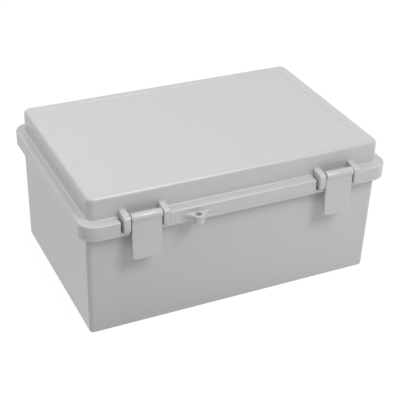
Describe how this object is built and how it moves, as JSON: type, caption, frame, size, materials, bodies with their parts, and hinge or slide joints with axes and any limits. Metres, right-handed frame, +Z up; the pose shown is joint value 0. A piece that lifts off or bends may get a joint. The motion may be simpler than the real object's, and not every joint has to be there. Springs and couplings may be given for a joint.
{
  "type": "hinged polycarbonate enclosure",
  "caption": "Rectangular polycarbonate box with a hinged raised lid, snap latches at the front, a padlock tab and a mounting panel inside.",
  "frame": {"origin": "centre of the flat underside of the base", "axes": "+X to the right along the length, +Y to the rear (hinge side), +Z up; the latches are on the -Y side"},
  "size_m": [0.28, 0.2102, 0.13],
  "materials": {
    "polycarbonate": "satin, light grey",
    "seal": "foamed polyurethane, matt",
    "stainless": "drawn pin",
    "zinc_plate": "bright zinc",
    "brass": "turned"
  },
  "bodies": {
    "base": {"base_box": "polycarbonate", "base_padlock_tab": "polycarbonate", "panel_inserts": "brass", "foot_inserts": "brass", "mounting_panel": "zinc_plate", "panel_screws": "zinc_plate", "panel_washers": "zinc_plate", "hinge_pin_left": "stainless", "hinge_pin_right": "stainless"},
    "lid": {"lid_cover": "polycarbonate", "lid_gasket": "seal", "lid_padlock_tab": "polycarbonate", "latch_pin_left": "stainless", "latch_pin_right": "stainless"},
    "latch_left": {"latch_paddle_left": "polycarbonate"},
    "latch_right": {"latch_paddle_right": "polycarbonate"}
  },
  "joints": [
    {"name": "lid_hinge", "type": "hinge", "parent": "base", "child": "lid", "pos_m": [0, 0.101, 0.10035], "axis": [-1, 0, 0], "range_deg": [0, 180]},
    {"name": "latch_left_pivot", "type": "hinge", "parent": "lid", "child": "latch_left", "pos_m": [-0.0878, -0.095, 0.1122], "axis": [-1, 0, 0], "range_deg": [0, 180]},
    {"name": "latch_right_pivot", "type": "hinge", "parent": "lid", "child": "latch_right", "pos_m": [0.0878, -0.095, 0.1122], "axis": [-1, 0, 0], "range_deg": [0, 180]}
  ]
}
